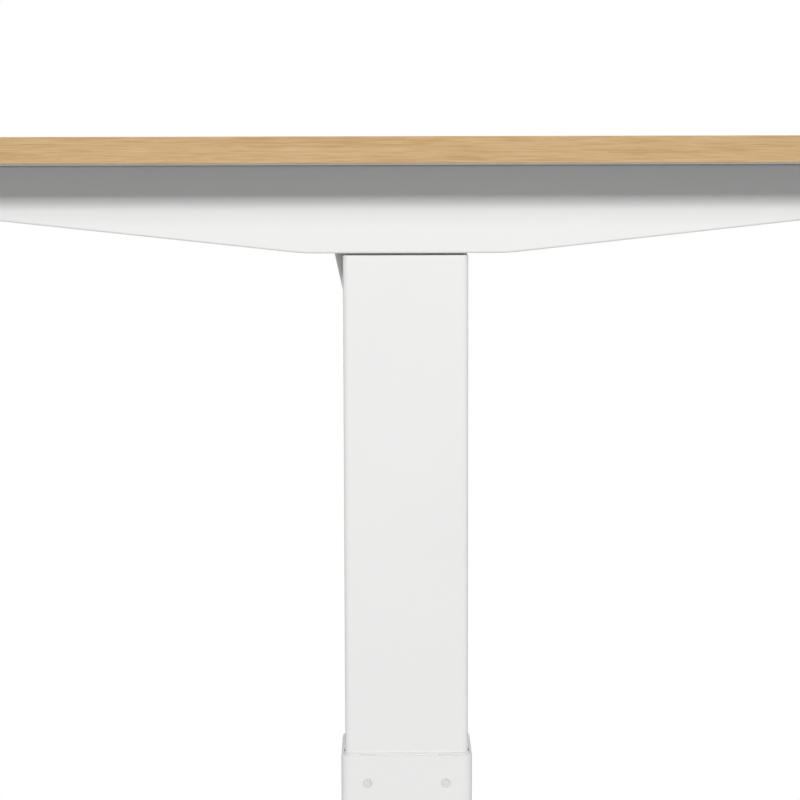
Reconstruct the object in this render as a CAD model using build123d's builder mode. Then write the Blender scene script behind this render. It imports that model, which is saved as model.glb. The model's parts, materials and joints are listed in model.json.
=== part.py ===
from build123d import *
import os
from math import degrees, pi, radians, tan

# An electric height adjustable desk on two telescopic legs. Millimetres, +Z up.
# The origin is on the floor under the centre of the worktop. +X is to the user's
# right, and the user sits on the -Y side. Every piece is drawn at the rest height.
# The two legs are one leg used twice: the right one is drawn, and the left one is
# the same pieces turned half a turn about Z.

# Worktop
top_length = 1400.0
top_depth = 700.0
top_thickness = 15.0
band_thickness = 1.0
band_round = 0.5
end_overhang = 75.0  # end of the worktop to the outer face of a side bracket

# Heights
floor_gap = 10.0  # floor to the lower edge of a foot
foot_height = 36.0
outer_tube_length = 591.0
shown_inner = 304.8  # inner column that stands out of the outer one at rest
head_gap = 1.2  # column head to the lower edge of the side bracket
bracket_height = 52.0
travel_down = 278.0
travel_up = 172.0

# Side bracket
bracket_length = 600.0
bracket_flat = 121.0
bracket_tip = 26.0  # height of the bracket at its ends
bracket_sheet = 2.5
bracket_flange = 45.0
bracket_lip = 20.0
bracket_bend = 1.2
bracket_blend = 120.0  # radius where the flat runs into the taper
bracket_corner = 8.0
bracket_notch_gap = 10.0  # gearbox to the ends of the notch in the lower lip

# Column
outer_width = 80.0
outer_depth = 55.0
outer_corner = 6.0
tube_wall = 1.5
slide_gap = 1.0  # between the outer tube's bore and the inner tube
column_inset = 3.0  # column face behind the bracket's outer face
head_plate_thickness = 5.0
head_plate_round = 0.8
head_plate_bore = 10.0
base_plate_thickness = 8.0
foot_clearance = 12.0  # inner tube to the base plate at the lowest height

# Glides
slide_play = 0.1
pad_width = 20.0
pad_height = 60.0
pad_spacing = 47.8
peg_radius = 2.65
peg_tip_radius = 1.5
peg_play = 0.15
peg_drop = 17.0  # rim of the outer tube to the middle of a peg
peg_shoulder = 1.3  # outer face of the tube to the peg's shoulder
peg_inset = 0.3
pad_rise = 1.5  # strip of the front and rear pads above the rim
hook_width = 8.0
hook_height = 0.8
lower_glide_height = 40.0
lower_glide_lip = 2.0

# Foot
foot_length = 620.0
foot_width = 70.0
foot_flat = 130.0
foot_tip = 18.0
foot_sheet = 2.5
foot_bend = 5.0
foot_corner = 10.0
leveler_spacing = 560.0
bush_radius = 9.0
bush_drop = 1.0  # into the foot's top sheet, where the bush is welded

# Levelling feet
stud_radius = 4.0
stud_length = 14.0
stud_tip = 1.0
floor_pad_radius = 20.0
floor_pad_thickness = 5.0
floor_pad_edge = 1.5
collar_radius = 7.5
leveler_play = 0.2

# Bolts and machine screws
bolt_radius = 3.0
bolt_head_radius = 5.0
bolt_head_height = 3.5
bolt_play = 0.3
bolt_socket = 2.5
thread_play = 0.02
foot_bolt_x = 26.0
foot_bolt_y = 50.0
foot_bolt_length = 8.5
bolt_end_gap = 0.5  # end of a frame bolt to the underside of the worktop
bolt_inset = 25.0  # bracket face to the outer frame bolts
bolt_pitch = 70.0
thin_nut_radius = 5.5
thin_nut_height = 1.8
head_screw_inset = 8.0  # side of the inner tube to a head screw
head_screw_y = 33.0
head_screw_radius = 2.5
head_screw_cone = 2.3  # both the height of the countersunk head and its widening
head_screw_end = 2.0  # past the underside of the column head
head_screw_play = 0.3

# Lifting screw and its nut
screw_radius = 8.0
journal_radius = 6.0
screw_chamfer = 1.5
running_play = 0.05
nut_play = 0.25
screw_clearance = 27.0  # screw to the base plate at the lowest height
screw_run_out = 17.0  # screw that stays below the nut at the highest height
nut_tube_radius = 14.0
nut_tube_wall = 1.5
nut_spigot = 20.0
nut_flange = 12.0

# Worm drive
wheel_teeth = 25
wheel_width = 10.0
worm_pitch_radius = 6.0
worm_turns = 6
worm_shaft_radius = 4.0
pressure_angle = 20.0
mesh_play = 0.2  # on each flank
dedendum = 1.2  # in modules
thread_root = 0.3  # of the thread's foot inside the worm's core

# Gearbox
gearbox_inset = 3.0  # side of the inner tube to the side of the gearbox
gearbox_width = 74.0
gearbox_corner = 4.0
gearbox_floor = 3.0
gearbox_lid_thickness = 6.5
bearing_ring = 8.0  # width of a bearing's ring
bearing_land = 3.0  # width of the face that stops a bearing above it
bearing_shoulder = 5.0  # width of the face that it stands on
bearing_height = 8.0
bearing_gap = 1.0  # bearing to worm wheel
lid_boss_wall = 2.5
chamber_play = 1.6
worm_bore_play = 0.4
worm_bore_run = 2.0  # past the end of the thread
worm_end_wall = 5.5
worm_blind = 2.0  # end of the worm's shaft to the end of its bore
nozzle_radius = 12.0

# Motor and its cover
motor_headroom = 8.5  # motor to the head bracket above it
motor_length = 70.0
motor_cap_step = 4.0  # motor's radius less its end cap's
motor_cap_length = 6.0
motor_grip = 14.0  # worm shaft inside the motor
motor_gap = 1.2  # end of the motor to the inside of its cover
cover_wall = 2.0
cover_play = 1.3
cover_gap = 1.3  # cover to the outer tube's face, which it passes on the way down
cover_depth = 77.0
cover_drop = 43.0  # column head to the underside of the cover
cover_slope = 12.5  # slanted side, in degrees from upright
cover_knee = 5.0  # column head to where the slant begins
cover_far_side = 37.0
cover_far_taper = 7.0
cover_round = 4.0
nozzle_play = 1.0
gland_radius = 6.0
gland_taper = 8.0
gland_length = 7.0
gland_y = -10.0
gland_rise = 26.0  # column head to the middle of the motor's gland

# Frame
rail_spacing = 150.0
rail_width = 20.0
rail_rise = 12.0  # lower edge of the side brackets to the lower edge of the rails
rail_sheet = 2.0
rail_bend = 3.0
rail_end_gap = 2.0
rail_lead_hole = 6.0
head_bracket_sheet = 3.0
head_bracket_gap = 2.5  # motor cover to the lip of the head bracket
head_bracket_lip = 12.0
head_bracket_bend = 4.0

# Wood screws
wood_screw_radius = 2.2
wood_screw_depth = 11.0
wood_screw_head_radius = 4.5
wood_screw_head_height = 2.6
wood_screw_head_taper = 20.0
wood_screw_play = 0.5
wood_screw_slot = 1.0
bracket_screw_inset = 30.0
bracket_screw_pitches = (260.0, 540.0)

# Control box
box_length = 240.0
box_width = 76.0
box_height = 35.0
box_wall = 2.5
box_corner = 6.0
box_lid_thickness = 3.0
box_ear = 18.0
box_screw_pitch = 50.0
box_gland_y = -18.0
box_handset_x = 60.0
post_radius = 3.0
post_height = 4.0
board_thickness = 1.6
board_gap = 1.5
inlet_x = -60.0
inlet_width = 29.0
inlet_height = 22.0
inlet_depth = 19.0
inlet_wall = 2.5
inlet_corner = 2.0
inlet_recess = 15.0
inlet_flange = 1.5
inlet_rim = 2.5
pin_length = 11.0
pin_width = 2.0
pin_height = 4.0
pin_pitch = 7.0
earth_pin_rise = 4.0
live_pin_rise = 1.0

# Handset under the front edge
handset_x = 505.0
handset_length = 100.0
handset_depth = 46.0
handset_height = 18.0
handset_wall = 2.0
handset_corner = 5.0
handset_round = 1.2
handset_setback = 4.0  # front edge of the worktop to the handset's face
handset_ear = 12.0
handset_ear_thickness = 3.0
button_length = 26.0
button_height = 9.0
button_corner = 2.0
button_spacing = 38.0
button_stand = 1.6
button_stem = 7.0
button_stem_length = 8.0
button_collar = 1.5
button_collar_gap = 0.1
button_play = 0.3

# Leads
motor_lead_radius = 2.75
handset_lead_radius = 2.0
bend_share = 0.45  # of the shorter run beside a bend, which its arc takes up
clip_length = 9.0
clip_wall = 1.2
clip_foot = 5.0
clip_foot_thickness = 1.5
clip_play = 0.4

# Places worked out from the sizes above
foot_top = floor_gap + foot_height
rim = foot_top + outer_tube_length
head = rim + shown_inner
bracket_bottom = head + head_gap
underside = bracket_bottom + bracket_height

bracket_face = top_length / 2 - end_overhang
bore_width = outer_width - 2 * tube_wall
bore_depth = outer_depth - 2 * tube_wall
bore_corner = outer_corner - tube_wall
inner_width = bore_width - 2 * slide_gap
inner_depth = bore_depth - 2 * slide_gap
inner_corner = bore_corner - slide_gap
column_x = bracket_face - column_inset - inner_depth / 2
base_plate_top = foot_top + base_plate_thickness
inner_bottom = base_plate_top + foot_clearance + travel_down
inner_top = head - head_plate_thickness
glide_skin = slide_gap - slide_play
head_screw_x = inner_depth / 2 - head_screw_inset

rail_top = underside - bracket_sheet
rail_end = bracket_face - bracket_sheet - rail_end_gap
rail_height = bracket_height - rail_rise
rail_outer_y = rail_spacing / 2 + rail_width / 2
head_bracket_top = rail_top - rail_sheet
head_bracket_bottom = head_bracket_top - head_bracket_sheet
outer_bolt_x = bracket_face - bolt_inset
inner_bolt_x = outer_bolt_x - bolt_pitch

gearbox_depth = inner_depth - 2 * gearbox_inset
gear_module = inner_depth / 40
wheel_radius = gear_module * wheel_teeth / 2
wheel_tip = wheel_radius + gear_module
wheel_root = wheel_radius - dedendum * gear_module
worm_lead = gear_module * pi
worm_tip = worm_pitch_radius + gear_module
worm_core = worm_pitch_radius - dedendum * gear_module
worm_length = worm_turns * worm_lead
worm_y = -(wheel_radius + worm_pitch_radius)
gearbox_top = head_bracket_bottom - gearbox_lid_thickness
gearbox_inboard = column_x - gearbox_depth / 2
gearbox_outboard = column_x + gearbox_depth / 2
lower_bearing = head + gearbox_floor
wheel_bottom = lower_bearing + bearing_height + bearing_gap
bearing_radius = min(journal_radius + bearing_ring, gearbox_depth / 2 - gearbox_corner)
worm_z = wheel_bottom + wheel_width / 2
upper_bearing = wheel_bottom + wheel_width + bearing_gap
journal_top = upper_bearing + bearing_height + bearing_gap
chamber_bottom = wheel_bottom - bearing_gap
chamber_radius = wheel_tip + chamber_play
worm_end = gearbox_outboard - worm_end_wall
cover_face = column_x - outer_depth / 2 - cover_gap
motor_face = cover_face - cover_wall - motor_gap
motor_back = motor_face - motor_length

screw_bottom = base_plate_top + screw_clearance + travel_down
nut_bottom = screw_bottom + travel_up + screw_run_out
nut_tube_top = nut_bottom + nut_spigot
nut_tube_bore = nut_tube_radius - nut_tube_wall

motor_radius = head_bracket_bottom - worm_z - motor_headroom
cover_back = cover_face - cover_depth
head_bracket_start = cover_back - head_bracket_gap - head_bracket_sheet
cover_side = worm_y - motor_radius - cover_play - cover_wall
cover_bottom = head - cover_drop
knee_z = head + cover_knee
slant_foot = cover_side + (knee_z - cover_bottom) * tan(radians(cover_slope))
gland_z = head + gland_rise

box_top = underside - box_lid_thickness
box_bottom = box_top - box_height
box_middle = (box_top + box_bottom) / 2
post_top = box_bottom + box_wall + post_height
handset_face = -top_depth / 2 + handset_setback
handset_back = handset_face + handset_depth
handset_middle_y = handset_face + handset_depth / 2
handset_bottom = underside - handset_height
handset_middle = underside - handset_height / 2

bush_y = leveler_spacing / 2
foot_slope = (foot_height - foot_tip) / ((foot_length - foot_flat) / 2)
bush_top = foot_top - foot_slope * (bush_y - foot_flat / 2) - foot_sheet + bush_drop

os.makedirs("parts", exist_ok=True)


def write(name, piece):
    piece.label = name
    export_step(piece, f"parts/{name}.step")


def write_both(name, piece):
    """Writes a piece of the right leg, and the same piece turned round for the left leg."""
    write(f"{name}_right", piece)
    write(f"{name}_left", piece.rotate(Axis.Z, 180))


# Worktop: a board with four strips of edge band, and the screws that go up into it

bracket_screws = [
    (side * (bracket_face - bracket_screw_inset), end * pitch / 2)
    for side in (-1, 1)
    for pitch in bracket_screw_pitches
    for end in (-1, 1)
]
box_screws = [
    (side * (box_length + box_ear) / 2, end * box_screw_pitch / 2)
    for side in (-1, 1)
    for end in (-1, 1)
]
handset_screws = [
    (handset_x + side * (handset_length + handset_ear) / 2, handset_middle_y)
    for side in (-1, 1)
]
screw_seats = [(x, y, underside - bracket_sheet) for x, y in bracket_screws]
screw_seats += [(x, y, underside - box_lid_thickness) for x, y in box_screws]
screw_seats += [(x, y, underside - handset_ear_thickness) for x, y in handset_screws]

with BuildPart() as worktop_board:
    with BuildSketch(Plane.XY.offset(underside)):
        Rectangle(top_length - 2 * band_thickness, top_depth - 2 * band_thickness)
    extrude(amount=top_thickness)
    with BuildSketch(Plane.XY.offset(underside)):
        with Locations([(x, y) for x, y, seat in screw_seats]):
            Circle(wood_screw_radius)
    extrude(amount=wood_screw_depth, mode=Mode.SUBTRACT)
write("worktop_board", worktop_board.part)

for side, name in ((-1, "front"), (1, "rear")):
    with BuildPart() as long_band:
        with BuildSketch(Plane.XY.offset(underside)):
            with Locations((0, side * (top_depth - band_thickness) / 2)):
                Rectangle(top_length, band_thickness)
        extrude(amount=top_thickness)
        outer_face = long_band.faces().sort_by(Axis.Y)[0 if side < 0 else -1]
        fillet(outer_face.edges().filter_by(Axis.X), band_round)
    write(f"edge_band_{name}", long_band.part)

for side, name in ((-1, "left"), (1, "right")):
    with BuildPart() as end_band:
        with BuildSketch(Plane.XY.offset(underside)):
            with Locations((side * (top_length - band_thickness) / 2, 0)):
                Rectangle(band_thickness, top_depth - 2 * band_thickness)
        extrude(amount=top_thickness)
        outer_face = end_band.faces().sort_by(Axis.X)[0 if side < 0 else -1]
        fillet(outer_face.edges().filter_by(Axis.Y), band_round)
    write(f"edge_band_{name}", end_band.part)

with BuildPart() as wood_screws:
    for x, y, seat in screw_seats:
        with BuildSketch(Plane.XY.offset(seat)):
            with Locations((x, y)):
                Circle(wood_screw_radius)
        extrude(amount=underside + wood_screw_depth - seat)
        with BuildSketch(Plane.XY.offset(seat)):
            with Locations((x, y)):
                Circle(wood_screw_head_radius)
        extrude(amount=-wood_screw_head_height, taper=wood_screw_head_taper)
        with BuildSketch(Plane.XY.offset(seat - wood_screw_head_height)):
            with Locations((x, y)):
                Rectangle(wood_screw_head_radius, wood_screw_slot)
                Rectangle(wood_screw_slot, wood_screw_head_radius)
        extrude(amount=wood_screw_head_height / 2, mode=Mode.SUBTRACT)
write("wood_screws", wood_screws.part)


# Feet: a pressed steel channel open below, with welded bushes for the levelling feet

with BuildPart() as foot:
    with BuildSketch(Plane.YZ.offset(column_x - foot_width / 2)):
        with BuildLine():
            Polyline(
                (-foot_length / 2, floor_gap),
                (foot_length / 2, floor_gap),
                (foot_length / 2, floor_gap + foot_tip),
                (foot_flat / 2, foot_top),
                (-foot_flat / 2, foot_top),
                (-foot_length / 2, floor_gap + foot_tip),
                close=True,
            )
        make_face()
    extrude(amount=foot_width)
    fillet(foot.edges().filter_by(Axis.Z), foot_corner)
    roof = foot.faces().filter_by(lambda face: face.normal_at().Z > 0.9)
    folds = roof.edges().filter_by(Axis.X).filter_by(lambda edge: abs(edge.center().Y) < foot_flat)
    fillet([edge for edge in roof.edges() if edge not in folds], foot_bend)
    offset(amount=-foot_sheet, openings=foot.faces().sort_by(Axis.Z)[0])
    with BuildSketch(Plane.XY.offset(floor_gap)):
        with Locations((column_x, -bush_y), (column_x, bush_y)):
            Circle(bush_radius)
    extrude(amount=bush_top - floor_gap)
    with BuildSketch(Plane.XY.offset(floor_gap)):
        with Locations((column_x, -bush_y), (column_x, bush_y)):
            Circle(stud_radius + leveler_play)
    extrude(amount=stud_length + stud_tip, mode=Mode.SUBTRACT)
    with BuildSketch(Plane.XY.offset(foot_top)):
        with Locations((column_x, 0)):
            with GridLocations(foot_bolt_x, foot_bolt_y, 2, 2):
                Circle(bolt_radius + bolt_play)
    extrude(amount=-2 * foot_sheet, mode=Mode.SUBTRACT)
write_both("foot", foot.part)

bolt_seat = foot_top - foot_sheet
with BuildPart() as foot_bolts:
    for bottom, amount, radius in (
        (bolt_seat, foot_bolt_length, bolt_radius),
        (bolt_seat, -bolt_head_height, bolt_head_radius),
    ):
        with BuildSketch(Plane.XY.offset(bottom)):
            with Locations((column_x, 0), (-column_x, 0)):
                with GridLocations(foot_bolt_x, foot_bolt_y, 2, 2):
                    Circle(radius)
        extrude(amount=amount)
    with BuildSketch(Plane.XY.offset(bolt_seat - bolt_head_height)):
        with Locations((column_x, 0), (-column_x, 0)):
            with GridLocations(foot_bolt_x, foot_bolt_y, 2, 2):
                RegularPolygon(bolt_socket, 6)
    extrude(amount=bolt_head_height / 2, mode=Mode.SUBTRACT)
write("foot_bolts", foot_bolts.part)

for side, leg in ((1, "right"), (-1, "left")):
    for end, where in ((-1, "front"), (1, "rear")):
        stud_x = side * column_x
        with BuildPart() as leveler:
            with BuildSketch(Plane.XZ.offset(-end * bush_y)):
                with BuildLine():
                    Polyline(
                        (stud_x, 0),
                        (stud_x + floor_pad_radius - floor_pad_edge, 0),
                        (stud_x + floor_pad_radius, floor_pad_edge),
                        (stud_x + floor_pad_radius, floor_pad_thickness - floor_pad_edge),
                        (stud_x + floor_pad_radius - floor_pad_edge, floor_pad_thickness),
                        (stud_x + collar_radius, floor_pad_thickness),
                        (stud_x + collar_radius, floor_gap),
                        (stud_x + stud_radius, floor_gap),
                        (stud_x + stud_radius, floor_gap + stud_length - stud_tip),
                        (stud_x + stud_radius - stud_tip, floor_gap + stud_length),
                        (stud_x, floor_gap + stud_length),
                        close=True,
                    )
                make_face()
            revolve(axis=Axis((stud_x, end * bush_y, 0), (0, 0, 1)))
        write(f"leveler_{where}_{leg}", leveler.part)


# Columns: a fixed outer tube on a base plate, and an inner tube that slides in it

with BuildPart() as outer_tube:
    with BuildSketch(Plane.XY.offset(foot_top)):
        with Locations((column_x, 0)):
            RectangleRounded(outer_depth, outer_width, outer_corner)
            RectangleRounded(bore_depth, bore_width, bore_corner, mode=Mode.SUBTRACT)
    extrude(amount=outer_tube_length)
    with BuildSketch(Plane.YZ.offset(column_x - outer_depth)):
        with Locations((-pad_spacing / 2, rim - peg_drop), (pad_spacing / 2, rim - peg_drop)):
            Circle(peg_radius + peg_play)
    extrude(amount=2 * outer_depth, mode=Mode.SUBTRACT)
    with BuildSketch(Plane.XZ.offset(-outer_width)):
        with Locations((column_x, rim - peg_drop)):
            Circle(peg_radius + peg_play)
    extrude(amount=2 * outer_width, mode=Mode.SUBTRACT)
write_both("outer_tube", outer_tube.part)

with BuildPart() as base_plate:
    with BuildSketch(Plane.XY.offset(foot_top)):
        with Locations((column_x, 0)):
            RectangleRounded(bore_depth, bore_width, bore_corner)
            with GridLocations(foot_bolt_x, foot_bolt_y, 2, 2):
                Circle(bolt_radius + thread_play, mode=Mode.SUBTRACT)
    extrude(amount=base_plate_thickness)
write_both("base_plate", base_plate.part)


def glide_pad(wall, across):
    """A pad inside the rim, on a plane in the bore's wall that faces out through the wall."""
    with BuildSketch(wall) as pad:
        with Locations((across, -pad_height / 2)):
            Rectangle(pad_width, pad_height)
    extrude(pad.sketch, amount=-glide_skin)
    with BuildSketch(wall) as peg:
        with Locations((across, -peg_drop)):
            Circle(peg_radius)
    extrude(peg.sketch, amount=tube_wall - peg_shoulder)
    with BuildSketch(wall) as peg_tip:
        with Locations((across, -peg_drop)):
            Circle(peg_tip_radius)
    extrude(peg_tip.sketch, amount=tube_wall - peg_inset)


with BuildPart() as glide_pads:
    for way in (1, -1):
        x_wall = Plane((column_x + way * bore_depth / 2, 0, rim), x_dir=(0, way, 0), z_dir=(way, 0, 0))
        y_wall = Plane((column_x, way * bore_width / 2, rim), x_dir=(-way, 0, 0), z_dir=(0, way, 0))
        glide_pad(x_wall, -pad_spacing / 2)
        glide_pad(x_wall, pad_spacing / 2)
        glide_pad(y_wall, 0)
        with BuildSketch(x_wall.offset(-glide_skin)):
            with Locations((-pad_spacing / 2, hook_height / 2), (pad_spacing / 2, hook_height / 2)):
                Rectangle(hook_width, hook_height)
        extrude(amount=glide_skin + tube_wall - peg_inset)
    with BuildSketch(Plane.XY.offset(rim)):
        with Locations((column_x, 0)):
            RectangleRounded(bore_depth, bore_width, bore_corner)
            RectangleRounded(
                inner_depth + 2 * slide_play,
                inner_width + 2 * slide_play,
                inner_corner + slide_play,
                mode=Mode.SUBTRACT,
            )
            Rectangle(bore_depth - 2 * bore_corner, bore_width, mode=Mode.SUBTRACT)
    extrude(amount=pad_rise)
    add(glide_pads.part.rotate(Axis.Z, 180))
write("glide_pads", glide_pads.part)

with BuildPart() as inner_tube:
    with BuildSketch(Plane.XY.offset(inner_bottom)):
        with Locations((column_x, 0)):
            RectangleRounded(inner_depth, inner_width, inner_corner)
            RectangleRounded(
                inner_depth - 2 * tube_wall,
                inner_width - 2 * tube_wall,
                inner_corner - tube_wall,
                mode=Mode.SUBTRACT,
            )
    extrude(amount=inner_top - inner_bottom)
write_both("inner_tube", inner_tube.part)

with BuildPart() as column_head:
    with BuildSketch(Plane.XY.offset(inner_top)):
        with Locations((column_x, 0)):
            RectangleRounded(inner_depth, inner_width, inner_corner)
    extrude(amount=head_plate_thickness)
    fillet(column_head.faces().sort_by(Axis.Z)[-1].edges(), head_plate_round)
    with BuildSketch(Plane.XY.offset(inner_top)):
        with Locations((column_x, 0)):
            Circle(head_plate_bore)
            with GridLocations(2 * head_screw_x, 2 * head_screw_y, 2, 2):
                Circle(head_screw_radius + thread_play)
    extrude(amount=head_plate_thickness, mode=Mode.SUBTRACT)
write_both("column_head", column_head.part)

with BuildPart() as lower_glides:
    for amount, bore_step in ((lower_glide_height, 0), (-lower_glide_lip, tube_wall)):
        with BuildSketch(Plane.XY.offset(inner_bottom)):
            with Locations((column_x, 0)):
                RectangleRounded(
                    inner_depth + 2 * glide_skin, inner_width + 2 * glide_skin, inner_corner + glide_skin
                )
                RectangleRounded(
                    inner_depth - 2 * bore_step,
                    inner_width - 2 * bore_step,
                    inner_corner - bore_step,
                    mode=Mode.SUBTRACT,
                )
        extrude(amount=amount)
    add(lower_glides.part.rotate(Axis.Z, 180))
write("lower_glides", lower_glides.part)


# Lifting screws: each hangs from the column head and runs in a nut on a standing tube

with BuildPart() as nut_tube:
    with BuildSketch(Plane.XY.offset(base_plate_top)):
        with Locations((column_x, 0)):
            Circle(nut_tube_radius)
            Circle(nut_tube_bore, mode=Mode.SUBTRACT)
    extrude(amount=nut_tube_top - base_plate_top)
write_both("nut_tube", nut_tube.part)

with BuildPart() as drive_nut:
    for bottom, height, radius in (
        (nut_bottom, nut_spigot, nut_tube_bore),
        (nut_tube_top, nut_flange, nut_tube_radius),
    ):
        with BuildSketch(Plane.XY.offset(bottom)):
            with Locations((column_x, 0)):
                Circle(radius)
                Circle(screw_radius + nut_play, mode=Mode.SUBTRACT)
        extrude(amount=height)
write_both("drive_nut", drive_nut.part)

with BuildPart() as leadscrew:
    with BuildSketch(Plane.XZ):
        with BuildLine():
            Polyline(
                (column_x, screw_bottom),
                (column_x + screw_radius - screw_chamfer, screw_bottom),
                (column_x + screw_radius, screw_bottom + screw_chamfer),
                (column_x + screw_radius, lower_bearing),
                (column_x + journal_radius, lower_bearing),
                (column_x + journal_radius, journal_top),
                (column_x, journal_top),
                close=True,
            )
        make_face()
    revolve(axis=Axis((column_x, 0, 0), (0, 0, 1)))
write_both("leadscrew", leadscrew.part)

with BuildPart() as screw_bearings:
    for bottom in (lower_bearing, upper_bearing):
        with BuildSketch(Plane.XY.offset(bottom)):
            with Locations((column_x, 0), (-column_x, 0)):
                Circle(bearing_radius)
                Circle(journal_radius + running_play, mode=Mode.SUBTRACT)
        extrude(amount=bearing_height)
write("screw_bearings", screw_bearings.part)

# The wheel's teeth lean by the worm's lead angle, and one tooth points at the worm.
flank_widening = tan(radians(pressure_angle))
half_twist = degrees(worm_lead / (2 * pi * worm_pitch_radius) * wheel_width / 2 / wheel_radius)


def tooth_half_angle(radius):
    half_width = worm_lead / 4 - mesh_play - (radius - wheel_radius) * flank_widening
    return degrees(half_width / radius)


with BuildPart() as worm_wheel:
    for height, twist in ((wheel_bottom, -half_twist), (wheel_bottom + wheel_width, half_twist)):
        corners = []
        for tooth in range(wheel_teeth):
            middle = -90 + tooth * 360 / wheel_teeth + twist
            for radius, flank in ((wheel_root, -1), (wheel_tip, -1), (wheel_tip, 1), (wheel_root, 1)):
                corner = Vector(radius, 0).rotate(Axis.Z, middle + flank * tooth_half_angle(radius))
                corners.append((column_x + corner.X, corner.Y))
        with BuildSketch(Plane.XY.offset(height)):
            with BuildLine():
                Polyline(*corners, close=True)
            make_face()
    loft(ruled=True)
    with BuildSketch(Plane.XY.offset(wheel_bottom)):
        with Locations((column_x, 0)):
            Circle(journal_radius)
    extrude(amount=wheel_width, mode=Mode.SUBTRACT)
write_both("worm_wheel", worm_wheel.part)

# The worm is drawn along Z about the origin, and then laid along X beside the wheel.
thread_length = worm_length - worm_lead
thread_start = -thread_length / 2
crest = worm_lead / 4 - mesh_play - gear_module * flank_widening
thread_foot = worm_lead / 4 - mesh_play + (dedendum * gear_module + thread_root) * flank_widening

with BuildPart() as upright_worm:
    with BuildSketch(Plane.XY.offset(motor_face - motor_grip - column_x)):
        Circle(worm_shaft_radius)
    extrude(amount=worm_end - motor_face + motor_grip)
    with BuildSketch(Plane.XY.offset(-worm_length / 2)):
        Circle(worm_core)
    extrude(amount=worm_length)
    with BuildLine():
        Helix(worm_lead, thread_length, worm_pitch_radius, center=(0, 0, thread_start))
    with BuildSketch(Plane.XZ):
        with BuildLine():
            Polyline(
                (worm_core - thread_root, thread_start - thread_foot),
                (worm_tip, thread_start - crest),
                (worm_tip, thread_start + crest),
                (worm_core - thread_root, thread_start + thread_foot),
                close=True,
            )
        make_face()
    sweep(is_frenet=True)
worm_seat = Plane((column_x, worm_y, worm_z), x_dir=(0, 1, 0), z_dir=(1, 0, 0))
write_both("worm", upright_worm.part.moved(worm_seat.location))


# Gearbox, motor and motor cover on each column head


def stepped_bore(steps):
    """Bores on the column's axis, each given as its bottom, top and radius."""
    for bottom, top, radius in steps:
        with BuildSketch(Plane.XY.offset(bottom)) as bore:
            with Locations((column_x, 0)):
                Circle(radius)
        extrude(bore.sketch, amount=top - bottom, mode=Mode.SUBTRACT)


def cross_bore(start, end, radius, mode=Mode.SUBTRACT):
    """A round bore or boss along the worm's axis."""
    with BuildSketch(Plane.YZ.offset(start)) as bore:
        with Locations((worm_y, worm_z)):
            Circle(radius)
    extrude(bore.sketch, amount=end - start, mode=mode)


def head_screw_holes(bottom, top):
    with BuildSketch(Plane.XY.offset(bottom)) as holes:
        with Locations((column_x, 0)):
            with GridLocations(2 * head_screw_x, 2 * head_screw_y, 2, 2):
                Circle(head_screw_radius + head_screw_play)
    extrude(holes.sketch, amount=top - bottom, mode=Mode.SUBTRACT)


with BuildPart() as gearbox:
    with BuildSketch(Plane.XY.offset(head)):
        with Locations((column_x, 0)):
            RectangleRounded(gearbox_depth, gearbox_width, gearbox_corner)
    extrude(amount=gearbox_top - head)
    cross_bore(motor_face, gearbox_inboard, nozzle_radius, mode=Mode.ADD)
    stepped_bore((
        (head, lower_bearing, bearing_radius - bearing_shoulder),
        (lower_bearing, chamber_bottom, bearing_radius),
        (chamber_bottom, gearbox_top, chamber_radius),
    ))
    cross_bore(motor_face, column_x + worm_length / 2 + worm_bore_run, worm_tip + worm_bore_play)
    cross_bore(column_x, worm_end + worm_blind, worm_shaft_radius + running_play)
    head_screw_holes(head, gearbox_top)
write_both("gearbox", gearbox.part)

with BuildPart() as gearbox_lid:
    with BuildSketch(Plane.XY.offset(gearbox_top)):
        with Locations((column_x, 0)):
            RectangleRounded(gearbox_depth, gearbox_width, gearbox_corner)
    extrude(amount=gearbox_lid_thickness)
    with BuildSketch(Plane.XY.offset(upper_bearing)):
        with Locations((column_x, 0)):
            Circle(bearing_radius + lid_boss_wall)
    extrude(amount=gearbox_top - upper_bearing)
    stepped_bore((
        (upper_bearing, upper_bearing + bearing_height, bearing_radius),
        (upper_bearing + bearing_height, gearbox_top + bearing_gap, bearing_radius - bearing_land),
    ))
    head_screw_holes(gearbox_top, head_bracket_bottom)
write_both("gearbox_lid", gearbox_lid.part)

with BuildPart() as motor:
    cross_bore(motor_back, motor_back + motor_cap_length, motor_radius - motor_cap_step, mode=Mode.ADD)
    cross_bore(motor_back + motor_cap_length, motor_face, motor_radius, mode=Mode.ADD)
    cross_bore(motor_face - motor_grip - worm_blind, motor_face, worm_shaft_radius + running_play)
write_both("motor", motor.part)


def gland(plane):
    """A tapered cable gland that stands on a plane, round the plane's origin."""
    with BuildSketch(plane) as foot_circle:
        Circle(gland_radius)
    extrude(foot_circle.sketch, amount=gland_length, taper=gland_taper)


with BuildPart() as motor_cover:
    with BuildSketch(Plane.YZ.offset(cover_back)):
        with BuildLine():
            Polyline(
                (cover_side, head_bracket_bottom),
                (cover_side, knee_z),
                (slant_foot, cover_bottom),
                (cover_far_side - cover_far_taper, cover_bottom),
                (cover_far_side, head_bracket_bottom),
                close=True,
            )
        make_face()
    extrude(amount=cover_depth)
    top_face = motor_cover.faces().sort_by(Axis.Z)[-1]
    upright = [
        edge
        for edge in motor_cover.edges()
        if abs((edge @ 1 - edge @ 0).X) < 1 and edge not in top_face.edges()
    ]
    fillet(upright + list(motor_cover.faces().sort_by(Axis.Z)[0].edges().filter_by(Axis.X)), cover_round)
    offset(amount=-cover_wall, openings=motor_cover.faces().sort_by(Axis.Z)[-1])
    cross_bore(cover_face - cover_wall, cover_face, nozzle_radius + nozzle_play)
    gland(Plane((cover_back, gland_y, gland_z), z_dir=(-1, 0, 0)))
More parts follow.
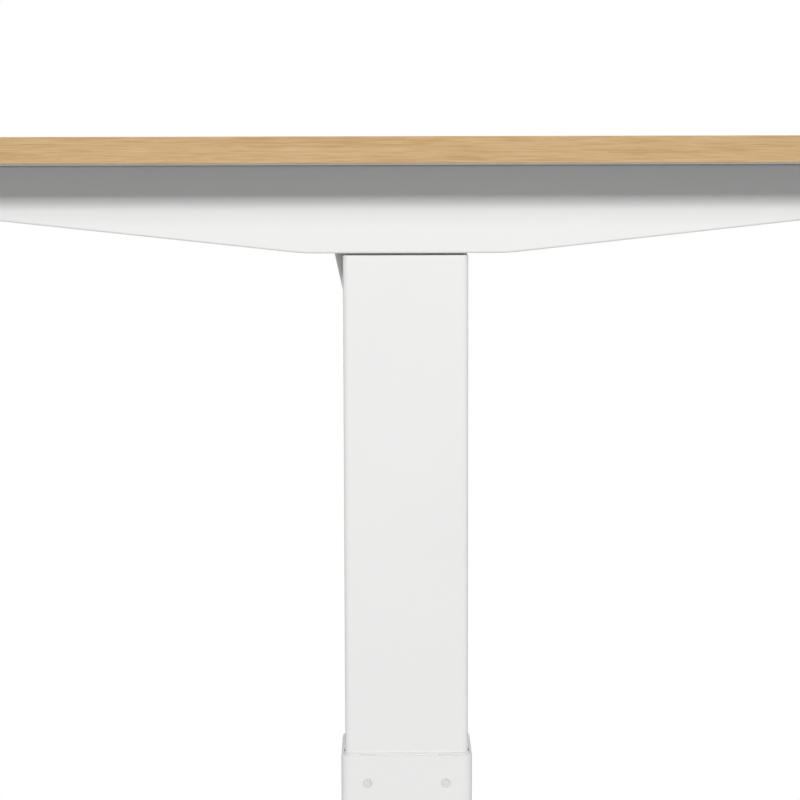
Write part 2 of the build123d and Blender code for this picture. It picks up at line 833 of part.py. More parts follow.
write_both("motor_cover", motor_cover.part)


# Frame under the worktop

with BuildPart() as head_bracket:
    half_width = rail_outer_y - rail_sheet
    with BuildSketch(Plane.XZ.offset(-half_width)):
        with BuildLine():
            Polyline(
                (head_bracket_start, head_bracket_top),
                (rail_end, head_bracket_top),
                (rail_end, head_bracket_bottom),
                (head_bracket_start + head_bracket_sheet, head_bracket_bottom),
                (head_bracket_start + head_bracket_sheet, head_bracket_bottom - head_bracket_lip),
                (head_bracket_start, head_bracket_bottom - head_bracket_lip),
                close=True,
            )
        make_face()
    extrude(amount=2 * half_width)
    fold = head_bracket.edges().filter_by(Axis.Y).group_by(Axis.Z)[-1].sort_by(Axis.X)[0]
    fillet(fold, head_bracket_bend)
    with BuildSketch(Plane.XY.offset(head_bracket_bottom)):
        with Locations(((outer_bolt_x + inner_bolt_x) / 2, 0)):
            with GridLocations(bolt_pitch, rail_spacing, 2, 2):
                Circle(bolt_radius + bolt_play)
    extrude(amount=head_bracket_sheet, mode=Mode.SUBTRACT)
    with Locations((column_x, 0, head_bracket_top)):
        with GridLocations(2 * head_screw_x, 2 * head_screw_y, 2, 2):
            CounterSinkHole(
                head_screw_radius + head_screw_play,
                head_screw_radius + head_screw_cone + head_screw_play,
                depth=head_bracket_sheet,
                counter_sink_angle=90,
            )
write_both("head_bracket", head_bracket.part)

for side, name in ((-1, "front"), (1, "rear")):
    with BuildPart() as rail:
        with BuildSketch(Plane.YZ.offset(-rail_end)):
            with Locations((side * rail_spacing / 2, rail_top - rail_height / 2)):
                Rectangle(rail_width, rail_height)
            with Locations((side * (rail_spacing - rail_sheet) / 2, rail_top - rail_height / 2)):
                Rectangle(rail_width - rail_sheet, rail_height - 2 * rail_sheet, mode=Mode.SUBTRACT)
        extrude(amount=2 * rail_end)
        web = rail.faces().sort_by(Axis.Y)[0 if side < 0 else -1]
        fillet(web.edges().filter_by(Axis.X), rail_bend)
        with BuildSketch(Plane.XY.offset(rail_top)):
            with Locations(*[
                (leg * x, side * rail_spacing / 2) for leg in (-1, 1) for x in (outer_bolt_x, inner_bolt_x)
            ]):
                Circle(bolt_radius + bolt_play)
        extrude(amount=-rail_sheet, mode=Mode.SUBTRACT)
        if side < 0:
            with BuildSketch(Plane.XZ.offset(rail_outer_y)):
                with Locations((box_handset_x, box_middle)):
                    Circle(rail_lead_hole)
            extrude(amount=-rail_sheet, mode=Mode.SUBTRACT)
    write(f"rail_{name}", rail.part)

with BuildPart() as side_bracket:
    with BuildSketch(Plane.YZ.offset(bracket_face - bracket_flange)) as bracket_outline:
        with BuildLine():
            Polyline(
                (-bracket_length / 2, underside),
                (bracket_length / 2, underside),
                (bracket_length / 2, underside - bracket_tip),
                (bracket_flat / 2, bracket_bottom),
                (-bracket_flat / 2, bracket_bottom),
                (-bracket_length / 2, underside - bracket_tip),
                close=True,
            )
        make_face()
        knees = bracket_outline.vertices().group_by(Axis.Y)[0]
        fillet(knees, bracket_blend)
        ends = bracket_outline.vertices().filter_by(lambda v: abs(v.X) > bracket_length / 2 - 1)
        fillet(ends, bracket_corner)
    extrude(amount=bracket_flange)
    fillet(side_bracket.faces().sort_by(Axis.X)[-1].edges(), bracket_bend)
    offset(amount=-bracket_sheet, openings=side_bracket.faces().sort_by(Axis.X)[0])
    with BuildSketch(Plane.XY.offset(rail_top)):
        with Locations((bracket_face - bracket_flange, 0)):
            Rectangle(bracket_flange - bracket_lip, bracket_length, align=(Align.MIN, Align.CENTER))
            Rectangle(
                bracket_flange - bracket_sheet,
                gearbox_width + 2 * bracket_notch_gap,
                align=(Align.MIN, Align.CENTER),
            )
    extrude(amount=-bracket_height, mode=Mode.SUBTRACT)
    with BuildSketch(Plane.XY.offset(rail_top)):
        with Locations((outer_bolt_x, -rail_spacing / 2), (outer_bolt_x, rail_spacing / 2)):
            Circle(bolt_radius + thread_play)
        with Locations([(x, y) for x, y in bracket_screws if x > 0]):
            Circle(wood_screw_radius + wood_screw_play)
    extrude(amount=bracket_sheet, mode=Mode.SUBTRACT)
write_both("side_bracket", side_bracket.part)

with BuildPart() as frame_bolts:
    rail_bolts = Locations(((outer_bolt_x + inner_bolt_x) / 2, 0), (-(outer_bolt_x + inner_bolt_x) / 2, 0))
    for amount, radius in (
        (underside - bolt_end_gap - head_bracket_bottom, bolt_radius),
        (-bolt_head_height, bolt_head_radius),
    ):
        with BuildSketch(Plane.XY.offset(head_bracket_bottom)):
            with rail_bolts:
                with GridLocations(bolt_pitch, rail_spacing, 2, 2):
                    Circle(radius)
        extrude(amount=amount)
    with BuildSketch(Plane.XY.offset(head_bracket_bottom - bolt_head_height)):
        with rail_bolts:
            with GridLocations(bolt_pitch, rail_spacing, 2, 2):
                RegularPolygon(bolt_socket, 6)
    extrude(amount=bolt_head_height / 2, mode=Mode.SUBTRACT)
    with BuildSketch(Plane.XY.offset(rail_top)):
        with GridLocations(2 * inner_bolt_x, rail_spacing, 2, 2):
            RegularPolygon(thin_nut_radius, 6)
            Circle(bolt_radius + thread_play, mode=Mode.SUBTRACT)
    extrude(amount=thin_nut_height)
    with BuildSketch(Plane.XY.offset(head_bracket_top)):
        with Locations((column_x, 0), (-column_x, 0)):
            with GridLocations(2 * head_screw_x, 2 * head_screw_y, 2, 2):
                Circle(head_screw_radius)
    extrude(amount=inner_top - head_screw_end - head_bracket_top)
    with BuildSketch(Plane.XY.offset(head_bracket_top)):
        with Locations((column_x, 0), (-column_x, 0)):
            with GridLocations(2 * head_screw_x, 2 * head_screw_y, 2, 2):
                Circle(head_screw_radius + head_screw_cone)
    extrude(amount=-head_screw_cone, taper=45)
write("frame_bolts", frame_bolts.part)


# Control box between the rails


def inlet_outline(border):
    RectangleRounded(inlet_width + 2 * border, inlet_height + 2 * border, inlet_corner)


rear_wall = Plane((inlet_x, box_width / 2, box_middle), x_dir=(-1, 0, 0), z_dir=(0, 1, 0))

with BuildPart() as control_box:
    with BuildSketch(Plane.XY.offset(box_bottom)):
        RectangleRounded(box_length, box_width, box_corner)
    extrude(amount=box_height)
    fillet(control_box.faces().sort_by(Axis.Z)[0].edges(), box_corner / 3)
    offset(amount=-box_wall, openings=control_box.faces().sort_by(Axis.Z)[-1])
    board_front = -box_width / 2 + box_wall + board_gap
    board_rear = box_width / 2 - inlet_depth - board_gap
    post_pitch_x = box_length - 6 * box_wall - 4 * post_radius
    post_pitch_y = board_rear - board_front - 3 * post_radius
    with BuildSketch(Plane.XY.offset(box_bottom + box_wall)):
        with Locations((0, (board_front + board_rear) / 2)):
            with GridLocations(post_pitch_x, post_pitch_y, 2, 2):
                Circle(post_radius)
    extrude(amount=post_height)
    with BuildSketch(rear_wall):
        inlet_outline(0)
    extrude(amount=-box_wall, mode=Mode.SUBTRACT)
    gland(Plane((box_length / 2, box_gland_y, box_middle), z_dir=(1, 0, 0)))
    gland(Plane((-box_length / 2, -box_gland_y, box_middle), z_dir=(-1, 0, 0)))
    gland(Plane((box_handset_x, -box_width / 2, box_middle), z_dir=(0, -1, 0)))
write("control_box", control_box.part)

with BuildPart() as control_box_lid:
    with BuildSketch(Plane.XY.offset(box_top)):
        RectangleRounded(box_length + 2 * box_ear, box_width, box_corner)
        with Locations(box_screws):
            Circle(wood_screw_radius + wood_screw_play, mode=Mode.SUBTRACT)
    extrude(amount=box_lid_thickness)
write("control_box_lid", control_box_lid.part)

with BuildPart() as control_board:
    with BuildSketch(Plane.XY.offset(post_top)):
        with Locations((0, (board_front + board_rear) / 2)):
            Rectangle(box_length - 2 * (box_wall + board_gap), board_rear - board_front)
    extrude(amount=board_thickness)
    for x, y, length, width, height in (
        (-85, -6, 34, 28, 18),  # transformer
        (-48, -14, 16, 20, 12),
        (-24, -14, 16, 20, 12),
        (4, 0, 26, 10, 15),
        (40, -4, 12, 12, 3),
        (84, -12, 22, 16, 10),
    ):
        with BuildSketch(Plane.XY.offset(post_top + board_thickness)):
            with Locations((x, y)):
                RectangleRounded(length, width, board_thickness)
        extrude(amount=height)
write("control_board", control_board.part)

with BuildPart() as mains_inlet:
    with BuildSketch(rear_wall):
        inlet_outline(inlet_rim)
    extrude(amount=inlet_flange)
    with BuildSketch(rear_wall):
        inlet_outline(0)
    extrude(amount=-inlet_depth)
    with BuildSketch(rear_wall.offset(inlet_flange)):
        RectangleRounded(inlet_width - 2 * inlet_wall, inlet_height - 2 * inlet_wall, inlet_corner)
    extrude(amount=-inlet_recess, mode=Mode.SUBTRACT)
    with BuildSketch(rear_wall.offset(inlet_flange - inlet_recess)):
        with Locations((-pin_pitch, live_pin_rise), (0, earth_pin_rise), (pin_pitch, live_pin_rise)):
            Rectangle(pin_width, pin_height)
    extrude(amount=pin_length)
write("mains_inlet", mains_inlet.part)


# Handset under the front edge, with an up button and a down button in its face

front_wall = Plane((handset_x, handset_face, handset_middle), x_dir=(1, 0, 0), z_dir=(0, -1, 0))
button_places = {"up": -button_spacing / 2, "down": button_spacing / 2}

with BuildPart() as handset_case:
    with BuildSketch(Plane.XY.offset(handset_bottom)):
        with Locations((handset_x, handset_middle_y)):
            RectangleRounded(handset_length, handset_depth, handset_corner)
    extrude(amount=handset_height)
    fillet(handset_case.faces().sort_by(Axis.Z)[0].edges(), handset_round)
    offset(amount=-handset_wall, openings=handset_case.faces().sort_by(Axis.Z)[-1])
    for side in (-1, 1):
        with BuildSketch(Plane.XY.offset(underside - handset_ear_thickness)):
            with Locations((handset_x + side * (handset_length / 2 - handset_wall), handset_middle_y)):
                Rectangle(
                    handset_ear + handset_wall,
                    handset_depth / 2,
                    align=(Align.MIN if side > 0 else Align.MAX, Align.CENTER),
                )
        extrude(amount=handset_ear_thickness)
    with BuildSketch(Plane.XY.offset(underside)):
        with Locations(handset_screws):
            Circle(wood_screw_radius + wood_screw_play)
    extrude(amount=-handset_ear_thickness, mode=Mode.SUBTRACT)
    with BuildSketch(front_wall):
        with Locations([(across, 0) for across in button_places.values()]):
            RectangleRounded(
                button_length + 2 * button_play, button_height + 2 * button_play, button_corner + button_play
            )
    extrude(amount=-handset_wall, mode=Mode.SUBTRACT)
    gland(Plane((handset_x, handset_back, handset_middle - 1), z_dir=(0, 1, 0)))
write("handset_case", handset_case.part)

for name, across in button_places.items():
    with BuildPart() as button:
        with BuildSketch(front_wall.offset(button_stand)):
            with Locations((across, 0)):
                RectangleRounded(button_length, button_height, button_corner)
        extrude(amount=-(button_stand + handset_wall + button_collar_gap))
        fillet(button.faces().sort_by(Axis.Y)[0].edges(), button_stand / 2)
        with BuildSketch(front_wall.offset(-(handset_wall + button_collar_gap))):
            with Locations((across, 0)):
                Rectangle(button_length + 2 * button_collar, button_height + 2 * button_collar)
        extrude(amount=-button_collar)
        with BuildSketch(front_wall.offset(-(handset_wall + button_collar_gap + button_collar))):
            with Locations((across, 0)):
                Rectangle(button_stem, button_stem / 2)
        extrude(amount=-button_stem_length)
    write(f"button_{name}", button.part)


# Leads, clipped to the underside of the worktop


def lead(name, radius, route):
    """A lead's tube: straight runs joined by arcs that are as large as the runs allow."""
    points = [Vector(*point) for point in route]
    radii = []
    for before, corner, after in zip(points, points[1:], points[2:]):
        turn = (corner - before).get_angle(after - corner)
        shorter = min((corner - before).length, (after - corner).length)
        radii.append(bend_share * shorter / tan(radians(turn / 2)))
    with BuildPart() as tube:
        with BuildLine() as path:
            FilletPolyline(*points, radius=radii)
        with BuildSketch(Plane(points[0], z_dir=points[1] - points[0])):
            Circle(radius)
        sweep()
    length = sum(edge.length for edge in path.edges())
    filled = tube.part.volume / (pi * radius**2 * length)
    print(name, "length", round(length), "least radius", round(min(radii)), "filled", round(filled, 4))
    return tube.part


def clip(start, end, radius):
    """A saddle clip round the middle of a straight run."""
    start = Vector(*start)
    end = Vector(*end)
    middle = (start + end) / 2
    along = end - start
    across = Vector(0, 0, 1).cross(along).normalized()
    section = Plane(middle - along.normalized() * clip_length / 2, x_dir=across, z_dir=along)
    rise = underside - middle.Z
    with BuildSketch(section) as saddle:
        Circle(radius + clip_play + clip_wall)
        Rectangle(2 * (radius + clip_play + clip_wall), rise, align=(Align.CENTER, Align.MIN))
        with Locations((0, rise)):
            Rectangle(
                2 * (radius + clip_wall + clip_foot), clip_foot_thickness, align=(Align.CENTER, Align.MAX)
            )
        Circle(radius + clip_play, mode=Mode.SUBTRACT)
        Rectangle(2 * (radius + clip_play), rise, align=(Align.CENTER, Align.MIN), mode=Mode.SUBTRACT)
        with Locations((0, rise)):
            Rectangle(clip_length, clip_length, align=(Align.CENTER, Align.MIN), mode=Mode.SUBTRACT)
    extrude(saddle.sketch, amount=clip_length)


motor_start = cover_back - gland_length
motor_end = box_length / 2 + gland_length
handset_start = handset_back + gland_length
handset_end = -box_width / 2 - gland_length


def between(end, start, share):
    return end + share * (start - end)


# Each point of a lead is given as its share of the way back from the control box to the lead's
# other end, and its drop below the worktop.
motor_route = [(motor_start, gland_y, gland_z), (motor_start - gland_length - 17, gland_y, gland_z)]
motor_route += [
    (between(motor_end, motor_start, share), y, underside - drop)
    for share, y, drop in (
        (0.834, -20, 23),
        (0.722, -30, 11),
        (0.582, -34, 3.5),
        (0.414, -34, 3.5),
        (0.26, -29, 5),
        (0.143, -23, 13),
    )
]
motor_route += [(motor_end + 24, box_gland_y, box_middle), (motor_end, box_gland_y, box_middle)]
handset_route = [
    (handset_x, handset_start, handset_middle - 1),
    (handset_x, handset_start + 23, handset_middle - 1),
]
handset_route += [
    (between(box_handset_x, handset_x, across), between(handset_end, handset_start, along), underside - drop)
    for across, along, drop in (
        (0.971, 0.815, 5.5),
        (0.917, 0.738, 3),
        (0.827, 0.681, 3),
        (0.706, 0.641, 3),
        (0.575, 0.609, 3),
        (0.449, 0.569, 3),
        (0.326, 0.508, 3),
        (0.211, 0.427, 4.5),
        (0.115, 0.339, 9),
        (0.036, 0.262, 16),
        (0.004, 0.173, 19.5),
    )
]
handset_route += [
    (box_handset_x, handset_end - 21, box_middle),
    (box_handset_x, handset_end, box_middle),
]
write_both("motor_lead", lead("motor lead", motor_lead_radius, motor_route))
write("handset_lead", lead("handset lead", handset_lead_radius, handset_route))

with BuildPart() as cable_clips:
    clip(motor_route[4], motor_route[5], motor_lead_radius)
    add(cable_clips.part.rotate(Axis.Z, 180))
    for bend in (4, 6):
        clip(handset_route[bend], handset_route[bend + 1], handset_lead_radius)
write("cable_clips", cable_clips.part)
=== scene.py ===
import json
import math

import bmesh
import bpy
from mathutils import Matrix, Vector


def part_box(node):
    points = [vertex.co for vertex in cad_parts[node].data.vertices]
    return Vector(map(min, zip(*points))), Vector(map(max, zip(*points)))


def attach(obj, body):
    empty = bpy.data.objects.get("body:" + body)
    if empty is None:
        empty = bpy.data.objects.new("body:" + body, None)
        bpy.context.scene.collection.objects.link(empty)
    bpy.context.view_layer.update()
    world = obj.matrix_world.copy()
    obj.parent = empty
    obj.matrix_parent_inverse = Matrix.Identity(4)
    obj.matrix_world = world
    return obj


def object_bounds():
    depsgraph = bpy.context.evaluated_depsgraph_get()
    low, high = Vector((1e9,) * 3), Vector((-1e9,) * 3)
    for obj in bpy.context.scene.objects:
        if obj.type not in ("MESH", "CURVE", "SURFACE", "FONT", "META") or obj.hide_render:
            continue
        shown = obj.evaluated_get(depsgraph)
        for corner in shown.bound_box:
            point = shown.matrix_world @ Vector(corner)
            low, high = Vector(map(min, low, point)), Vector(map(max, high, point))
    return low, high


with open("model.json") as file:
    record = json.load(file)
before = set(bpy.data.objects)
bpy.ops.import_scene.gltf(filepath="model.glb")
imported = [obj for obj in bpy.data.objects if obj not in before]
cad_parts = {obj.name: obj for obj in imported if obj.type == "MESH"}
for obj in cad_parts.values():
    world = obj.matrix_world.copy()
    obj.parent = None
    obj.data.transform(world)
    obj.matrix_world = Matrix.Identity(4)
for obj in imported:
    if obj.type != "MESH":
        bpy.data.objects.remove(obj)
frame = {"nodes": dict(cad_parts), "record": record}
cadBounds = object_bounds()
print("frame loaded:", len(frame["nodes"]), "nodes")


# One socket of a node tree. Plain arithmetic on it adds Math nodes.
class Sock:
    def __init__(self, finish, link):
        self.finish = finish
        self.link = link

    def maths(self, operation, a, b):
        return self.finish.node("ShaderNodeMath", {"operation": operation}, {0: a, 1: b})

    def __add__(self, other):
        return self.maths("ADD", self, other)

    __radd__ = __add__

    def __sub__(self, other):
        return self.maths("SUBTRACT", self, other)

    def __rsub__(self, other):
        return self.maths("SUBTRACT", other, self)

    def __mul__(self, other):
        return self.maths("MULTIPLY", self, other)

    __rmul__ = __mul__

    def __gt__(self, other):
        return self.maths("GREATER_THAN", self, other)


# A material: its Principled shader, and the methods that the finishes below are written with
class Finish:
    def __init__(self, name, constants=None):
        self.material = bpy.data.materials.new(name)
        self.material.use_nodes = True
        self.tree = self.material.node_tree
        self.shader = self.tree.nodes["Principled BSDF"]
        for socket, value in (constants or {}).items():
            self.shader.inputs[socket].default_value = value

    # Any node: its settings come first, then the values or links of its sockets
    def node(self, kind, settings=None, sockets=None, output=0):
        made = self.tree.nodes.new(kind)
        for key, value in (settings or {}).items():
            if key == "stops":
                ramp = made.color_ramp
                while len(ramp.elements) < len(value):
                    ramp.elements.new(1)
                for stop, (position, colour) in zip(ramp.elements, value):
                    stop.position = position
                    stop.color = (*colour, 1)
            else:
                setattr(made, key, value)
        for key, value in (sockets or {}).items():
            if isinstance(value, Sock):
                self.tree.links.new(value.link, made.inputs[key])
            else:
                made.inputs[key].default_value = value
        return Sock(self, made.outputs[output])

    def feed(self, links):
        for socket, sock in links.items():
            self.tree.links.new(sock.link, self.shader.inputs[socket])

    # The piece's own place in metres, stretched along each axis
    def place(self, stretch=(1, 1, 1)):
        spot = self.node("ShaderNodeTexCoord", output=3)
        return self.node("ShaderNodeVectorMath", {"operation": "MULTIPLY"}, {0: spot, 1: stretch})

    def axis(self, which):
        spot = self.node("ShaderNodeTexCoord", output=3)
        return self.node("ShaderNodeSeparateXYZ", sockets={0: spot}, output="XYZ".index(which))

    def noise(self, stretch, detail=3.0, roughness=0.5, distortion=0.0):
        return self.node(
            "ShaderNodeTexNoise",
            sockets={
                "Vector": self.place(stretch),
                "Scale": 1.0,
                "Detail": detail,
                "Roughness": roughness,
                "Distortion": distortion,
            },
        )

    def ramp(self, amount, *stops):
        return self.node("ShaderNodeValToRGB", {"stops": stops}, {"Fac": amount})

    # Takes a value from one range to another
    def fit(self, value, low, high, start, end):
        return self.node(
            "ShaderNodeMapRange",
            sockets={"Value": value, "From Min": low, "From Max": high, "To Min": start, "To Max": end},
        )

    def mix(self, amount, a, b):
        sockets = {0: amount}
        for index, value in ((6, a), (7, b)):
            sockets[index] = value if isinstance(value, Sock) else (*value, 1)
        return self.node("ShaderNodeMix", {"data_type": "RGBA"}, sockets, output=2)

    def bump(self, height, depth):
        normal = self.node("ShaderNodeBump", sockets={"Distance": depth, "Height": height})
        self.tree.links.new(normal.link, self.shader.inputs["Normal"])


# A colour made darker by a share
def shaded(colour, share):
    return tuple(c * share for c in colour)


# Wood: the edge band's straight grain, and the top's broad laminate figure

edgeBand = {
    "colours": ((0.465, 0.275, 0.104), (0.575, 0.375, 0.173), (0.655, 0.448, 0.240)),
    "fibreSize": 0.0007,  # across the grain
    "fibreLength": 0.024,
    "veinSize": 0.0026,
    "veinLength": 0.11,
    "fibreShare": 0.64,  # of the colour; the veins have the rest
    "colourStops": (0.34, 0.50, 0.66),
    "veinLines": 5.0,
    "veinLineWidth": 0.10,
    "veinLineDarkness": 0.45,
    "poreDepth": 0.00003,
    "roughness": (0.42, 0.55),
}


def makeEdgeBand(name, along):
    wood = Finish(name, {"Specular IOR Level": 0.35})

    def grain(size, length, **settings):
        across, lengthwise = 1 / size, 1 / length
        stretch = (lengthwise, across, across) if along == "X" else (across, lengthwise, across)
        return wood.noise(stretch, **settings)

    fibres = grain(edgeBand["fibreSize"], edgeBand["fibreLength"], detail=3, roughness=0.6)
    veins = grain(edgeBand["veinSize"], edgeBand["veinLength"], detail=2, distortion=0.8)
    share = edgeBand["fibreShare"]
    figure = fibres * share + veins * (1 - share)
    colour = wood.ramp(figure, *zip(edgeBand["colourStops"], edgeBand["colours"]))
    vein = wood.node("ShaderNodeMath", {"operation": "PINGPONG"}, {0: veins * edgeBand["veinLines"], 1: 0.5})
    line = wood.fit(vein, 0.0, edgeBand["veinLineWidth"], edgeBand["veinLineDarkness"], 0)
    streaked = wood.mix(line, colour, edgeBand["colours"][0])
    low, high = edgeBand["roughness"]
    wood.feed({"Base Color": streaked, "Roughness": wood.fit(fibres, 0.3, 0.7, low, high)})
    wood.bump(fibres, edgeBand["poreDepth"])
    return wood.material


laminate = {
    "colours": ((0.47, 0.295, 0.135), (0.585, 0.390, 0.195), (0.66, 0.455, 0.240)),
    "backing": (0.74, 0.74, 0.735),  # the underside's plain layer
    "ringWidth": 0.016,
    "ringStretch": 0.12,
    "fibreSize": 0.0016,
    "fibreLength": 0.16,
    "swayStretch": (1.1, 5.5, 5.5),
    "shares": (0.14, 0.52, 0.34),  # rings, fibres, sway
    "colourStops": (0.25, 0.50, 0.75),
    "backingThickness": 0.0005,
    "poreDepth": 0.00003,
    "roughness": (0.36, 0.48),
}


def makeLaminate(name):
    wood = Finish(name, {"Specular IOR Level": 0.4})
    sway = wood.noise(laminate["swayStretch"], detail=2, distortion=0.6)
    rings = wood.node(
        "ShaderNodeTexWave",
        {"wave_type": "BANDS", "bands_direction": "Y", "wave_profile": "SIN"},
        {
            "Vector": wood.place((laminate["ringStretch"], 1, 1)),
            "Scale": 0.05 / laminate["ringWidth"],
            "Distortion": 3.0,
            "Detail": 2.5,
            "Detail Scale": 0.9,
        },
    )
    fine = 1 / laminate["fibreSize"]
    fibres = wood.noise((1 / laminate["fibreLength"], fine, fine), detail=4, roughness=0.6)
    ringShare, fibreShare, swayShare = laminate["shares"]
    figure = rings * ringShare + fibres * fibreShare + sway * swayShare
    colour = wood.ramp(figure, *zip(laminate["colourStops"], laminate["colours"]))
    aboveBacking = wood.axis("Z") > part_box("worktop_board")[0].z + laminate["backingThickness"]
    faced = wood.mix(aboveBacking, laminate["backing"], colour)
    low, high = laminate["roughness"]
    wood.feed({"Base Color": faced, "Roughness": wood.fit(fibres, 0.3, 0.7, low, high)})
    wood.bump(fibres, laminate["poreDepth"])
    return wood.material


# Painted and plated metals

powderCoat = {
    "colour": (0.865, 0.865, 0.86),
    "grainSize": 0.0009,
    "grainDepth": 0.000035,
    "cloudScale": 9,
    "cloudShade": 0.985,
    "roughness": (0.40, 0.50),
}


def makePowderCoat(name):
    paint = Finish(name, {"Specular IOR Level": 0.35})
    grain = 1 / powderCoat["grainSize"]
    peel = paint.noise((grain, grain, grain), detail=2)
    cloud = paint.noise((powderCoat["cloudScale"],) * 3, detail=2)
    shade = shaded(powderCoat["colour"], powderCoat["cloudShade"])
    colour = paint.mix(paint.fit(cloud, 0.35, 0.65, 0, 1), powderCoat["colour"], shade)
    low, high = powderCoat["roughness"]
    paint.feed({"Base Color": colour, "Roughness": paint.fit(peel, 0.3, 0.7, low, high)})
    paint.bump(peel, powderCoat["grainDepth"])
    return paint.material


metals = {
    # colour, metallic, roughness from and to, grain size, grain depth
    "zinc_steel": ((0.62, 0.62, 0.60), 1.0, (0.26, 0.40), 0.0030, 0.00002),
    "black_steel": ((0.035, 0.035, 0.037), 0.6, (0.38, 0.52), 0.0008, 0.00002),
    "cast_alloy": ((0.55, 0.55, 0.56), 0.9, (0.42, 0.60), 0.0011, 0.00012),
    "bearing_steel": ((0.75, 0.75, 0.76), 1.0, (0.12, 0.22), 0.0020, 0.00001),
    "gear_bronze": ((0.70, 0.50, 0.22), 1.0, (0.24, 0.36), 0.0012, 0.00002),
}
metalCloud = {"scale": 60, "shade": 0.86}


def makeMetal(name):
    colour, metallic, (low, high), size, depth = metals[name]
    metal = Finish(name, {"Metallic": metallic})
    grain = metal.noise((1 / size, 1 / size, 1 / size), detail=3)
    cloud = metal.noise((metalCloud["scale"],) * 3, detail=2)
    tint = metal.mix(metal.fit(cloud, 0.3, 0.7, 0, 1), colour, shaded(colour, metalCloud["shade"]))
    metal.feed({"Base Color": tint, "Roughness": metal.fit(grain, 0.3, 0.7, low, high)})
    metal.bump(grain, depth)
    return metal.material


rolledThread = {
    "lead": 0.016,
    "starts": 4,
    "depth": 0.0009,
    # painted shade: the grooves' darker steel colour stands in for shadow in the thread's hollows
    "paintedGrooveShade": (0.30, 0.30, 0.29),
    "crestColour": (0.62, 0.62, 0.60),
    "grainScale": 300,
    "roughness": (0.25, 0.38),
}


# A lifting screw: ridges that climb by the lead in each turn about the screw's axis, with painted shade in
# the grooves, which get a darker steel colour than the crests
def makeRolledThread(name, axisX):
    steel = Finish(name, {"Metallic": 1.0})
    across = steel.axis("X") - axisX
    angle = steel.node("ShaderNodeMath", {"operation": "ARCTAN2"}, {0: steel.axis("Y"), 1: across})
    turn = angle * (rolledThread["starts"] / math.tau)
    climb = steel.axis("Z") * (rolledThread["starts"] / rolledThread["lead"])
    ridge = steel.node("ShaderNodeMath", {"operation": "PINGPONG"}, {0: climb - turn, 1: 0.5}) * 2.0
    grain = steel.noise((rolledThread["grainScale"],) * 3, detail=3)
    # painted shade: the ramp darkens the low part of each ridge, the thread's grooves
    colour = steel.ramp(ridge, (0.10, rolledThread["paintedGrooveShade"]), (0.45, rolledThread["crestColour"]))
    low, high = rolledThread["roughness"]
    steel.feed({"Base Color": colour, "Roughness": steel.fit(grain, 0.3, 0.7, low, high)})
    steel.bump(ridge, rolledThread["depth"])
    return steel.material


# Moulded plastics and rubbers

moulded = {
    # colour, roughness from and to, texture size, texture depth, specular level
    "white_plastic": ((0.82, 0.82, 0.81), (0.42, 0.55), 0.0007, 0.00004, 0.4),
    "black_plastic": ((0.025, 0.025, 0.027), (0.45, 0.60), 0.0007, 0.00006, 0.4),
    "acetal": ((0.80, 0.80, 0.78), (0.30, 0.42), 0.0040, 0.00002, 0.45),
    "foot_pad": ((0.035, 0.035, 0.037), (0.62, 0.78), 0.0010, 0.00006, 0.3),
    "button_rubber": ((0.16, 0.16, 0.17), (0.50, 0.62), 0.0008, 0.00003, 0.35),
    "lead_sheath": ((0.03, 0.03, 0.032), (0.42, 0.55), 0.0012, 0.00003, 0.4),
    "arrow_print": ((0.78, 0.78, 0.77), (0.45, 0.55), 0.0008, 0.00001, 0.4),
}
mouldedCloud = {"scale": 35, "shade": 0.95}


def makeMoulded(name):
    colour, (low, high), size, depth, specular = moulded[name]
    plastic = Finish(name, {"Specular IOR Level": specular})
    spark = plastic.noise((1 / size, 1 / size, 1 / size), detail=2)
    cloud = plastic.noise((mouldedCloud["scale"],) * 3, detail=2)
    tint = plastic.mix(plastic.fit(cloud, 0.3, 0.7, 0, 1), colour, shaded(colour, mouldedCloud["shade"]))
    plastic.feed({"Base Color": tint, "Roughness": plastic.fit(spark, 0.3, 0.7, low, high)})
    plastic.bump(spark, depth)
    return plastic.material


circuitBoard = {
    "mask": (0.03, 0.16, 0.06),
    "track": (0.06, 0.26, 0.10),
    "trackPitch": 0.0025,
    "trackShare": 0.10,
    "thickness": 0.0017,
    "chip": (0.02, 0.02, 0.022),
    "case": (0.10, 0.10, 0.11),
    "core": (0.42, 0.30, 0.03),
    "grainScale": 700,
    "grainDepth": 0.00003,
    "roughness": (0.30, 0.42),
}


# Solder mask and its tracks on the board, dark bodies and a yellow core on what stands up from it
def makeCircuitBoard(name):
    board = Finish(name, {"Specular IOR Level": 0.5})
    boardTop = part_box("control_board")[0].z + circuitBoard["thickness"]
    pitch = 1 / circuitBoard["trackPitch"]
    cells = board.node(
        "ShaderNodeTexVoronoi",
        {"feature": "DISTANCE_TO_EDGE"},
        {"Vector": board.place((pitch * 0.4, pitch, 0)), "Scale": 1.0},
    )
    tracks = board.mix(cells > circuitBoard["trackShare"], circuitBoard["track"], circuitBoard["mask"])
    parts = board.ramp(
        board.noise((28, 28, 3), detail=0),
        (0.44, circuitBoard["chip"]),
        (0.47, circuitBoard["case"]),
        (0.53, circuitBoard["core"]),
    )
    standing = board.axis("Z") > boardTop
    grain = board.noise((circuitBoard["grainScale"],) * 3)
    low, high = circuitBoard["roughness"]
    board.feed({
        "Base Color": board.mix(standing, tracks, parts),
        "Roughness": board.fit(grain, 0.3, 0.7, low, high),
    })
    board.bump(grain, circuitBoard["grainDepth"])
    return board.material


